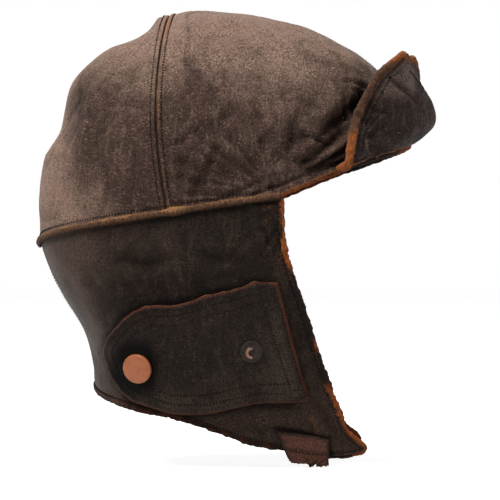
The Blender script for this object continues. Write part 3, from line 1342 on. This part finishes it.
def flap_outline(t):
    """Lower and upper ends of the flap at t: below 0 the sewn strip ahead of the fold, 1 at the tail."""
    ahead = np.clip(-t, 0, 1)
    share = np.clip(t, 0, 1)
    upper = along_points(UPPER_EDGE_SHARES, share)
    lower = along_points(LOWER_EDGE_SHARES, share)
    upper = [upper[0] + ANCHOR_SHARE * ahead, upper[1] - STRIP_TAPER * ahead]
    lower = [lower[0] + (ANCHOR_FOOT_SHARE - FOLD_FOOT_SHARE) * ahead, lower[1] + STRIP_TAPER * ahead]
    return [(FOLD_TOP_X + x * FLAP_LENGTH, FOLD_TOP_Z + z * FLAP_HEIGHT) for x, z in (lower, upper)]


def flap_height(x, z):
    """Lift of the flap's inner face, with its outer relief, at a place seen from the side."""
    share = (FOLD_TOP_X + FOLD_FOOT_SHARE * FLAP_LENGTH / 2 - x) / (FLAP_RISE_SHARE * FLAP_LENGTH)
    lift = FLAP_LIFT_AT_FOLD + (FLAP_LIFT - FLAP_LIFT_AT_FOLD) * smoothstep(share)
    wave = MM * waves(np.stack([x, 0 * x, z], axis=-1), (0.7, 30, 21.0), (0.3, 11, 25.0))
    dent = SNAP_DENT * near(np.hypot(x - SNAP_X, z - SNAP_Z), 0, 12)
    return lift, wave * smoothstep(share + 0.3) - dent


def flap_loop():
    """Outline of the flap behind its fold, as points seen from the side."""
    low, high = (np.stack(edge, axis=1) for edge in flap_outline(np.linspace(0, 1, 120)))
    loop = np.concatenate([high, low[::-1]])
    run = run_along(loop)
    return read_at(np.linspace(0, run[-1], LOOP_POINTS), run, loop)


def flap_rows(loop):
    """Stitch rows seen from the side: two round the flap, then those of the strip at its front."""
    kernel = np.hanning(15)
    kernel /= kernel.sum()
    padded = np.pad(loop, ((7, 7), (0, 0)), mode="edge")
    smooth = np.stack([np.convolve(column, kernel, mode="valid") for column in padded.T], axis=1)
    tangent = unit(np.gradient(smooth, axis=0))
    inward = np.stack([-tangent[:, 1], tangent[:, 0]], axis=1)
    rows = [smooth + inward * inset for inset in (FLAP_OUTER_ROW, FLAP_INNER_ROW)]
    rows.append(np.linspace(*FOLD_ROW, 60) * MM)
    rows.append(np.stack(along_points(FRONT_ROW, np.linspace(0, 1, 60)), axis=1) * MM)
    return rows + [np.linspace(*row, 24) * MM for row in (FOLD_TOP_ROW, FOLD_FOOT_ROW, FOLD_FOOT_INNER_ROW)]


def flap_fields(x, z, edge, sewn):
    """Wear, shade and tone of the flap from the distances to its edge and its stitches."""
    around_cap = np.hypot(x - SNAP_X, z - SNAP_Z)
    halo = np.maximum(ramp(around_cap, 19, 10) * ramp(x - SNAP_X, 15, 6), ramp(around_cap, 13, 9))
    wear = 1.1 * near(edge, 0, 1.1) + 0.16 * near(edge, 14, 9) + 0.35 * near(sewn, 0, 1.3)
    shade = 0.92 * halo * ramp(edge, 0, 2) + 0.25 * near(edge, 2.4, 0.8)
    tone = 0.2 * (near(x, -24, 12) + near(z, -84, 5) * ramp(x, -20, -5)) + 0.5 * ramp(z, -80, -102) - 0.25
    tone += 0.55 * near(x, 30, 9) + 0.45 * spot(x, z, (-47, -62), 15) - 0.35 * spot(x, z, (-20, -74), 16)
    return {"wear": wear, "shade": np.clip(shade, 0, 0.9), "tone": tone, "rust": 0.8}


def ear_flap(side_name, side):
    """Double leather flap with its front strip: two sheets that bend along the fold line."""
    t = np.concatenate([np.linspace(-1, 0, STRIP_COLUMNS)[:-1], np.linspace(0, 1, FLAP_GRID_COLUMNS)])
    t, up = np.meshgrid(t, crowded(FLAP_GRID_ROWS, 1))
    (low_x, low_z), (high_x, high_z) = flap_outline(t)
    x, z = low_x + (high_x - low_x) * up, low_z + (high_z - low_z) * up
    azimuth, rise = seen_at(x, z, FLAP_STACK)
    lift, wave = flap_height(x, z)
    lift = lift + (FLAP_LIFT_AT_FOLD - lift) * smoothstep(-1.2 * t)
    loop = flap_loop()
    rows = flap_rows(loop)
    edge, _ = stroke_distance(x, z, loop[::3] / MM)
    front_gap = (1 + t) * ANCHOR_SHARE * FLAP_LENGTH * 0.6
    strip_gap = np.minimum(front_gap, np.minimum(up, 1 - up) * (high_z - low_z))
    edge = np.where(t < 0, np.minimum(edge, strip_gap), edge)
    sewn = np.min([stroke_distance(x, z, row[::4] / MM)[0] for row in rows], axis=0)
    relief = wave * ramp(edge, 0, 6) - 1.0 * MM * near(edge, 0, 0.9) - 0.3 * MM * near(sewn, 0, 0.6)
    relief += 0.5 * MM * noise_field(np.stack([x, 0 * x, z], axis=-1), 3.5 * MM, 77.0) * near(edge, 0, 1.4)
    curl = FLAP_EDGE_CURL * ramp(edge, 4, 0) * smoothstep(3 * t)
    body = f"ear_flap_{side_name}"
    anchor, axis = joint_of(body)
    backward = unit(np.cross(axis, skin_normals(*seen_at(anchor[0], anchor[2], FLAP_STACK), side)))
    backward = backward * (-1 if backward[0] > 0 else 1)
    fields = flap_fields(x, z, edge, sewn)
    for nodes, offset, thickness in (
        (("ear_flap", "flap_front_strip"), FLAP_OUTER_FACE + relief, FLAP_LEATHER),
        (("ear_flap_lining",), THIN_LEATHER + relief * 0.3, THIN_LEATHER),
    ):
        points = skin(azimuth, rise, lift + curl + offset, side)
        obj = sheet(f"{nodes[0]}_{side_name}_leather", points, thickness, "flap", "edge", fields)
        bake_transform(obj)
        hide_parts(*(f"{name}_{side_name}" for name in nodes))
    flap_stitches(side_name, side, rows)


def flap_stitches(side_name, side, rows):
    """Two rows that swing with the flap, and the rows of the front strip, which stay."""
    sewn = []
    for i, row in enumerate(rows):
        lift, wave = flap_height(row[:, 0], row[:, 1])
        if i >= 3:
            lift = FLAP_LIFT_AT_FOLD
        place = seen_at(row[:, 0], row[:, 1], FLAP_STACK)
        points, normals = skin_path(*place, lift + FLAP_OUTER_FACE + wave - 0.3 * MM, side)
        kept = slice(4, -4) if i < 2 else slice(None)
        sewn.append((points[kept], normals[kept]))
    stitches(f"ear_flap_{side_name}_stitches", sewn[:2], f"ear_flap_{side_name}")
    stitches(f"flap_front_strip_{side_name}_stitches", sewn[2:], "helmet")


def disc_frame(azimuth, rise, offset, side):
    """Place and axis of a round piece that sits square on the form."""
    point = skin(azimuth, rise, offset, side)
    normal = Vector(skin_normals(azimuth, rise, side))
    turn = Vector((0, 0, 1)).rotation_difference(normal).to_matrix().to_4x4()
    return Matrix.Translation(Vector(point)) @ turn


def turned(name, profile, finish, frame):
    """Turned piece: a profile of (radius, height) pairs from its top round the outer side."""
    turns = [2 * math.pi * j / TURNED_SIDES for j in range(TURNED_SIDES)]
    flat = []
    for radius, height in profile:
        flat += [(radius * math.cos(turn), radius * math.sin(turn), height) for turn in turns]
    obj = new_mesh(name, np.array(flat), tube_faces(len(profile), TURNED_SIDES), finish)
    obj.data.transform(frame)
    return face_outward(obj)


def fitting(node, side_name, side, place, offset, profile, finish):
    """Round metal piece that sits square on the form."""
    return turned(f"{node}_{side_name}_metal", profile, finish, disc_frame(*place, offset, side))


def cap_profile():
    """Low dome that rolls over into its rim."""
    radius, height, rim = CAP_DIAMETER / 2, CAP_HEIGHT + 0.5 * MM, 0.8 * MM
    top = [(radius * 0.86 * math.sin(turn), height * (0.82 + 0.18 * math.cos(turn)))
           for turn in np.linspace(1e-3, math.pi / 2, 7)]
    edge = [(radius - rim + rim * math.sin(turn), height * 0.82 - rim + rim * math.cos(turn))
            for turn in np.linspace(0.2, math.pi / 2, 5)]
    return top + edge + [(radius, 0.1 * height), (radius - rim / 2, 0), (AXIS_RADIUS, 0)]


def socket_profile():
    """Ring with a rounded bead round its bore."""
    bore, outer, bead = SOCKET_BORE / 2, SOCKET_DIAMETER / 2, 0.7 * MM
    return [(bore, SOCKET_HEIGHT), (bore + bead, SOCKET_HEIGHT + 0.1 * MM), (outer - bead, SOCKET_HEIGHT),
            (outer, SOCKET_HEIGHT - bead / 2), (outer, 0), (bore, 0), (bore, SOCKET_HEIGHT)]


def snap_stud_profile():
    """Post with a waist on a thin flange."""
    flange, post, foot, edge = SNAP_STUD_FLANGE / 2, SNAP_STUD_POST / 2, SNAP_STUD_FLANGE_HEIGHT, 0.3 * MM
    return [(AXIS_RADIUS, SNAP_STUD_HEIGHT), (post - edge, SNAP_STUD_HEIGHT), (post, SNAP_STUD_HEIGHT - edge),
            (post - edge, foot + 0.2 * MM), (post, foot), (flange - 0.2 * MM, foot), (flange, 0.2 * MM),
            (flange, 0), (AXIS_RADIUS, 0)]


def washer_profile():
    """Flat ring with one broken edge."""
    edge = 0.15 * MM
    hole, outer = WASHER_HOLE / 2, WASHER_DIAMETER / 2
    return [(hole, WASHER_THICKNESS), (outer - edge, WASHER_THICKNESS), (outer, WASHER_THICKNESS - edge),
            (outer, 0), (hole, 0), (hole, WASHER_THICKNESS)]


def fold_stud_profile():
    """Ring with a hollow-topped knob."""
    ring, knob, hollow = STUD_RING / 2, STUD_KNOB / 2, STUD_HOLLOW / 2 + 0.4 * MM
    floor, low = STUD_HEIGHT - STUD_HOLLOW_DEPTH, STUD_RING_HEIGHT
    return [(AXIS_RADIUS, floor), (hollow - 0.2 * MM, floor), (hollow, STUD_HEIGHT - 0.2 * MM),
            (hollow + 0.3 * MM, STUD_HEIGHT), (knob - 0.5 * MM, STUD_HEIGHT),
            (knob - 0.1 * MM, STUD_HEIGHT - 0.3 * MM), (knob, STUD_HEIGHT - 0.8 * MM),
            (knob - 0.4 * MM, low + 0.5 * MM), (knob, low), (ring - 0.9 * MM, low * 0.9),
            (ring - 0.3 * MM, low), (ring, low * 0.5), (ring, 0), (AXIS_RADIUS, 0)]


def snap(side_name, side):
    """Copper cap and socket on the flap, stud and washer on the panel."""
    place = seen_at(SNAP_X, SNAP_Z, FLAP_STACK)
    lift = float(flap_height(SNAP_X, SNAP_Z)[0])
    flap = f"ear_flap_{side_name}"
    washer_offset = -LEATHER - HOLLOW_SEAT - SEAT - WASHER_THICKNESS
    for node, offset, profile, finish, body, slot in (
        ("snap_cap", lift + FLAP_OUTER_FACE - CAP_SINK, cap_profile(), "copper", flap, "copper_cap"),
        ("snap_socket", lift - HOLLOW_SEAT - SOCKET_HEIGHT, socket_profile(), "brass", flap, "snap_brass"),
        ("snap_stud", SEAT, snap_stud_profile(), "brass", "helmet", "snap_brass"),
        ("snap_washer", washer_offset, washer_profile(), "brass", "helmet", "snap_brass"),
    ):
        obj = fitting(node, side_name, side, place, offset, profile, finish)
        slotted(obj, body, slot, f"{node}_{side_name}")


def fold_stud(side_name, side):
    """Blackened stud near the fold, rubbed bright on one side, and its washer."""
    place = seen_at(STUD_X, STUD_Z, FLAP_STACK)
    lift, _ = flap_height(STUD_X - STUD_RING / 2, STUD_Z)
    top = float(lift) + FLAP_OUTER_FACE
    stud = fitting("flap_stud", side_name, side, place, top, fold_stud_profile(), "dark")
    stud.data.materials.append(FINISHES["rubbed"])
    centre = skin(*place, top, side)
    for polygon in stud.data.polygons[2 * TURNED_SIDES:6 * TURNED_SIDES]:
        backward, low = polygon.center.x < centre[0] + 0.6 * MM, polygon.center.z < centre[2] + 2 * MM
        polygon.material_index = int(backward and low)
    slotted(stud, f"ear_flap_{side_name}", "dark_stud", f"flap_stud_{side_name}")
    inner, _ = flap_height(STUD_X + WASHER_DIAMETER / 2, STUD_Z)
    offset = float(inner) - CURVED_SEAT - WASHER_THICKNESS
    washer = fitting("flap_stud_washer", side_name, side, place, offset, washer_profile(), "dark")
    slotted(washer, f"ear_flap_{side_name}", "dark_stud", f"flap_stud_washer_{side_name}")


def chin_tab(side_name, side):
    """Folded tab: the foot is sewn down and the lip lifts on the stitch line."""
    top_z, foot_z = TAB_STITCH_Z + TAB_LIP_HEIGHT + TAB_ROLL, TAB_STITCH_Z - TAB_FOOT_HEIGHT
    height = top_z - foot_z
    u, v = grid_shares((TAB_COLUMNS, TAB_ROWS))
    x = TAB_BACK_X + TAB_LENGTH * u
    place = np.stack([x, np.zeros_like(x), v * 0.02], axis=-1)
    frayed = 0.9 * noise_field(place, 2.2 * MM, 31.0) - 2.4 * np.minimum(u - 0.6, 0) ** 2 + 0.3
    pinch = TAB_PINCH * smoothstep((u - 0.72) / 0.28) * (0.5 - v)
    z = top_z - height * v - TAB_SLOPE * (x - TAB_BACK_X) - MM * frayed * v ** 4 - pinch
    x = x + MM * (5.0 * (1 - u) ** 2 * v + 0.4 * u * v - 1.6 * (1 - u) * (1 - v))
    edge = np.minimum(np.minimum(u, 1 - u) * TAB_LENGTH, np.minimum(v, 1 - v) * height)
    stitch_v = TAB_LIP_HEIGHT / (TAB_LIP_HEIGHT + TAB_FOOT_HEIGHT)
    sewn = near((v - stitch_v) * height, 0, 0.8)
    relief = MM * (0.35 * noise_field(place, 8 * MM, 33.0) - 0.5 * near(edge, 0, 0.7) - 0.35 * sewn)
    points = skin(*seen_at(x, z), TAB_OFFSET + TAB_THICKNESS + relief, side)
    wear = 0.9 * near((1 - v) * height, 0, 1.6) + 0.4 * bell(sewn - 0.5, 0.3)
    shade = 0.5 * sewn + 0.85 * near(edge, 0.5, 0.9) + 0.4 * bell(u, 0.1)
    fields = {"wear": wear, "shade": np.clip(shade, 0, 0.85), "tone": 0.1, "rust": 0.35}
    tab = sheet(f"chin_tab_{side_name}_leather", points, TAB_THICKNESS * 0.8, "tab", "edge", fields)
    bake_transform(tab)
    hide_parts(f"chin_tab_foot_{side_name}", f"chin_tab_lip_{side_name}")
    path = points[int(round(stitch_v * (TAB_ROWS - 1))) + 2, 4:-4]
    stitches(f"chin_tab_{side_name}_stitches", [(path, away_normals(path, side))], "helmet")


def visor_points(across, up):
    spread = np.abs(across)
    rounded = spread ** VISOR_ROUNDNESS
    foot = VISOR_FOOT_FRONT_Z + (VISOR_FOOT_SIDE_Z - VISOR_FOOT_FRONT_Z) * rounded
    top = VISOR_TOP_FRONT_Z + (VISOR_TOP_CORNER_Z - VISOR_TOP_FRONT_Z) * rounded
    front = VISOR_FRONT_X + VISOR_BULGE * along_table(VISOR_FRONT_SHARES, up)
    side_x = VISOR_SIDE_X + VISOR_SIDE_RUN * along_table(VISOR_SIDE_SHARES, up)
    half = VISOR_HALF_WIDTH - VISOR_DRAW_IN * up
    return np.stack([front - (front - side_x) * rounded, -half * across, foot + (top - foot) * up], axis=-1)


def visor_surface(across, up, depth):
    """Points at this depth behind the visor's outer face, with the outward directions there."""
    across, up = np.broadcast_arrays(np.asarray(across, float), np.asarray(up, float))
    points = visor_points(across, up)
    sideways = visor_points(across + FINE_STEP, up) - visor_points(across - FINE_STEP, up)
    above, below = np.minimum(up + FINE_STEP, 1), np.maximum(up - FINE_STEP, 0)
    climb = visor_points(across, above) - visor_points(across, below)
    normals = unit(np.cross(climb, sideways))
    facing = np.sum(normals * (points - HEAD_MIDDLE), axis=-1, keepdims=True)
    normals = normals * np.where(facing < 0, -1, 1)
    return points - normals * np.broadcast_to(depth, across.shape)[..., None], normals


def visor():
    """Visor leather and lining turned up against the forehead, with the rolled bead round its free edge."""
    across, up = grid_shares(VISOR_GRID)
    across = 1 - 2 * across
    base, normals = visor_surface(across, up, 0.0)
    first, last, foot, top = grid_distances(base)
    free = np.minimum(np.minimum(first, last), top)
    x, z = base[..., 0], base[..., 2]
    creased = creases(x, z, VISOR_CREASES)
    folds = fan(x, z, FAN_VISOR_FOOT, 16, 79.0)
    wrinkles = wrinkled(base, 13, 47.0, (1.0, 1.0, 1.6), 30, 49.0, 0.3)
    relief = waves(base, (1.0, 30, 43.0), (0.4, 12, 45.0)) + waves(base, (0.3, 3.4, 41.0)) * near(free, 6, 3)
    relief = MM * ((relief + 1.2 * folds) * ramp(free, 0, 8) - 0.35 * wrinkles) - 1.6 * creased
    relief -= STITCH_GROOVE * 1.3 * bell(free - VISOR_STITCH_INSET, VISOR_GROOVE_WIDTH)
    points, _ = visor_surface(across, up, -relief)
    wear = 0.45 * near(foot, 0, 3.5) + 0.5 * spot(x, z, (100, 60), 6)
    wear += 0.5 * ramp(x, 100, 109) * (0.8 + 0.5 * noise_field(base, 9 * MM, 95.0))
    shade = np.clip(creased / (1.4 * MM), 0, 0.6) + 0.3 * bell(free - VISOR_STITCH_INSET, 0.7 * MM)
    shade += 0.3 * wrinkles + 0.75 * near(free, 0.8, 1.3) + 0.3 * np.clip(-folds, 0, 1)
    tone = 1.5 * ramp(z, 56, 69) * ramp(x, 104, 94) - 0.4
    fields = {"wear": wear, "shade": np.clip(shade, 0, 0.85), "tone": tone, "rust": 0.85}
    outer = sheet("visor_leather", points, LEATHER, "visor", "edge", fields)
    slotted(outer, "visor", "crown_leather", "visor")
    inner, _ = visor_surface(across, up, LEATHER + SEAT + 0.2 * MM)
    lining = sheet("visor_lining_leather", inner, THIN_LEATHER, "flap", "edge",
                   {"wear": 0.2, "shade": 0.1, "tone": 0.0, "rust": 0.7})
    slotted(lining, "visor", "flap_leather", "visor_lining")
    rows = [(column_path(points[4:-6], gaps[4:-6], VISOR_STITCH_INSET), normals[4:-6, column])
            for gaps, column in ((first, 12), (last, -12))]
    path = column_path(points.transpose(1, 0, 2)[14:-14], top.T[14:-14], VISOR_STITCH_INSET)
    stitches("visor_stitches", rows + [(path, normals[-9, 14:-14])], "visor")


def bead_path():
    """Path round the visor's free edge, curled back at both ends along the forehead."""
    side_up, top_across = np.linspace(0.02, 1, BEAD_SIDE_POINTS), np.linspace(1, -1, BEAD_TOP_POINTS)[1:-1]
    across = np.concatenate([np.ones(BEAD_SIDE_POINTS), top_across, -np.ones(BEAD_SIDE_POINTS)])
    up = np.concatenate([side_up, np.ones(len(top_across)), side_up[::-1]])
    depth = (LEATHER + SEAT + THIN_LEATHER) / 2
    points, normals = visor_surface(across, up, depth)
    middle, _ = visor_surface(0.0, 0.5, depth)
    points = eased(outside_edge(points, normals, VISOR_BEAD / 2 + 0.1 * MM, middle), 10)
    for _ in range(10):
        normals[1:-1] = unit(normals[:-2] + normals[1:-1] * 2 + normals[2:])
    curl = np.array(BEAD_CURL) * MM
    points = np.concatenate([(points[0] + curl)[::-1], points, points[-1] + curl])
    normals = np.pad(normals, ((len(curl), len(curl)), (0, 0)), mode="edge")
    points, normals = resample(points, normals, BEAD_STEP)
    return eased(points, 3), normals


def visor_bead():
    """Rolled edge of the visor, rubbed to rust at its corners and its foot."""
    points, normals = bead_path()
    lumps = waves(points, (0.14, 9, 51.0), (0.14, 2.2, 53.0))
    scale = 1 + (1 - 0.8 * ramp(points[:, 2], 74, 80)) * lumps
    ends = np.minimum(np.arange(len(points)), np.arange(len(points))[::-1])
    scale *= 0.45 + 0.55 * np.sqrt(smoothstep(ends / 6))
    scale *= 1 - 0.3 * ramp(points[:, 2], 78, 83)
    section = oval_section(VISOR_BEAD, VISOR_BEAD, squareness=2.2)
    bead = swept("visor_bead_leather", points, normals, section, "bead", scale)
    z = vertex_places(bead)[:, 2]
    rust = np.maximum(ramp(z, 76, 83), ramp(z, 50, 36)) * 0.8 + 0.35
    set_field(bead, "rust", np.clip(rust, 0, 1))
    slotted(bead, "visor", "worn_edge", "visor_bead")


def lamp(name, place, size, power):
    light = bpy.data.lights.new(name, "AREA")
    light.shape = "DISK"
    light.size = size
    light.energy = power
    obj = bpy.data.objects.new(name, light)
    obj.location = place
    obj.rotation_euler = (Vector(LAMP_TARGET) - Vector(place)).to_track_quat("-Z", "Y").to_euler()
    bpy.context.scene.collection.objects.link(obj)


def seen_share(tree):
    """1 for camera, glossy and transmission rays, which show the white background."""
    rays = tree.nodes.new("ShaderNodeLightPath").outputs
    seen = sum_node(tree, "MAXIMUM", rays["Is Camera Ray"], rays["Is Glossy Ray"])
    return sum_node(tree, "MAXIMUM", seen, rays["Is Transmission Ray"])


def surround():
    """White to the camera, dim to the helmet."""
    world = bpy.data.worlds.new("studio")
    world.use_nodes = True
    bpy.context.scene.world = world
    background = world.node_tree.nodes["Background"]
    background.inputs["Color"].default_value = (1, 1, 1, 1)
    strength = world.node_tree.nodes.new("ShaderNodeMapRange")
    strength.inputs["To Min"].default_value = AMBIENT
    strength.inputs["To Max"].default_value = 1.0
    join(world.node_tree, seen_share(world.node_tree), strength.inputs["Value"])
    join(world.node_tree, strength.outputs["Result"], background.inputs["Strength"])


def pale_floor():
    """Wide floor that shows almost white."""
    mesh = bpy.data.meshes.new("floor")
    corners = [(x * FLOOR_REACH, y * FLOOR_REACH, 0) for x, y in ((-1, -1), (1, -1), (1, 1), (-1, 1))]
    mesh.from_pydata(corners, [], [(0, 1, 2, 3)])
    floor = bpy.data.objects.new("floor", mesh)
    floor.location.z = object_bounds()[0].z - 0.2 * MM
    bpy.context.scene.collection.objects.link(floor)
    finish = bpy.data.materials.new("pale_floor")
    finish.use_nodes = True
    shader = finish.node_tree.nodes["Principled BSDF"]
    for key, value in (("Base Color", (0.6, 0.6, 0.6, 1)), ("Roughness", 0.9), ("Specular IOR Level", 0.1),
                       ("Emission Color", (1, 1, 1, 1))):
        shader.inputs[key].default_value = value
    glow = sum_node(finish.node_tree, "MULTIPLY", seen_share(finish.node_tree), FLOOR_GLOW)
    join(finish.node_tree, glow, shader.inputs["Emission Strength"])
    mesh.materials.append(finish)
    floor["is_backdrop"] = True


def photograph():
    """Camera of the photograph."""
    camera = bpy.data.cameras.new("camera")
    camera.sensor_width = SENSOR
    camera.lens = SENSOR * CAMERA_DISTANCE / FIELD_WIDTH
    eye = bpy.data.objects.new("camera", camera)
    eye.location = (CAMERA_X, -CAMERA_DISTANCE, CAMERA_Z)
    eye.rotation_euler = (math.pi / 2, 0, 0)
    bpy.context.scene.collection.objects.link(eye)
    bpy.context.scene.camera = eye


def studio():
    """White surround, soft lamps, pale floor and the camera."""
    bpy.context.scene.view_settings.view_transform = "Standard"
    surround()
    for settings in LAMPS:
        lamp(*settings)
    pale_floor()
    photograph()


SIDE_PIECES = (welt, side_panel, side_lining, edge_bindings, forehead_edge, ear_flap, snap, fold_stud,
               chin_tab)
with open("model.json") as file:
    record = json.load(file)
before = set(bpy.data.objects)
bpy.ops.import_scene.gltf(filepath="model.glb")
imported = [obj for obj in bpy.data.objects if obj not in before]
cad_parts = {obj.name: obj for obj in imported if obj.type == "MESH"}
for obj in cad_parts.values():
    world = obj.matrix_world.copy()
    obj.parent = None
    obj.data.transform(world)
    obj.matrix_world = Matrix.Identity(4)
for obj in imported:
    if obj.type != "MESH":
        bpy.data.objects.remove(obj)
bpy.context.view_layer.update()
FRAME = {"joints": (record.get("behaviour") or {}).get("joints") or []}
FINISHES = make_finishes()
EDGES = panel_edges()
crown_lining()
seam_tapes()
for side_name, side in SIDES.items():
    for is_front in (True, False):
        crown_quarter(side_name, side, is_front)
    for build in SIDE_PIECES:
        build(side_name, side)
visor()
visor_bead()
studio()
